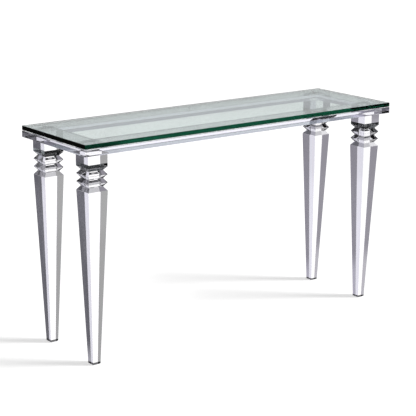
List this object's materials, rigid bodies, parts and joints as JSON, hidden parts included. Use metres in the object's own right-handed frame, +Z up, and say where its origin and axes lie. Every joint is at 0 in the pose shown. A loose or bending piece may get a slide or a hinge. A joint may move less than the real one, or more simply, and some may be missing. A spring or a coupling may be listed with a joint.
{
  "type": "console table",
  "caption": "Long narrow console table with a loose glass top on a clear acrylic frame, carried by square turned acrylic legs that taper to the floor.",
  "frame": {"origin": "on the floor, under the middle of the table", "axes": "+X along the table's length, +Y from its front to its back, +Z up"},
  "size_m": [1.335, 0.395, 0.76],
  "materials": {
    "clear_glass": "polished",
    "clear_acrylic": "polished, clear",
    "clear_rubber": "smooth, translucent"
  },
  "bodies": {
    "base": {"glass_bumpers": "clear_rubber", "front_rail": "clear_acrylic", "back_rail": "clear_acrylic", "left_rail": "clear_acrylic", "right_rail": "clear_acrylic", "front_left_leg_block": "clear_acrylic", "front_left_leg_upper_ring": "clear_acrylic", "front_left_leg_lower_ring": "clear_acrylic", "front_left_leg_shaft": "clear_acrylic", "front_left_foot_pad": "clear_rubber", "front_right_leg_block": "clear_acrylic", "front_right_leg_upper_ring": "clear_acrylic", "front_right_leg_lower_ring": "clear_acrylic", "front_right_leg_shaft": "clear_acrylic", "front_right_foot_pad": "clear_rubber", "back_left_leg_block": "clear_acrylic", "back_left_leg_upper_ring": "clear_acrylic", "back_left_leg_lower_ring": "clear_acrylic", "back_left_leg_shaft": "clear_acrylic", "back_left_foot_pad": "clear_rubber", "back_right_leg_block": "clear_acrylic", "back_right_leg_upper_ring": "clear_acrylic", "back_right_leg_lower_ring": "clear_acrylic", "back_right_leg_shaft": "clear_acrylic", "back_right_foot_pad": "clear_rubber"},
    "top": {"glass_top": "clear_glass"}
  },
  "joints": [
    {"name": "top_lift", "type": "slide", "parent": "base", "child": "top", "axis": [0, 0, 1], "range_m": [0, 0.1]}
  ]
}
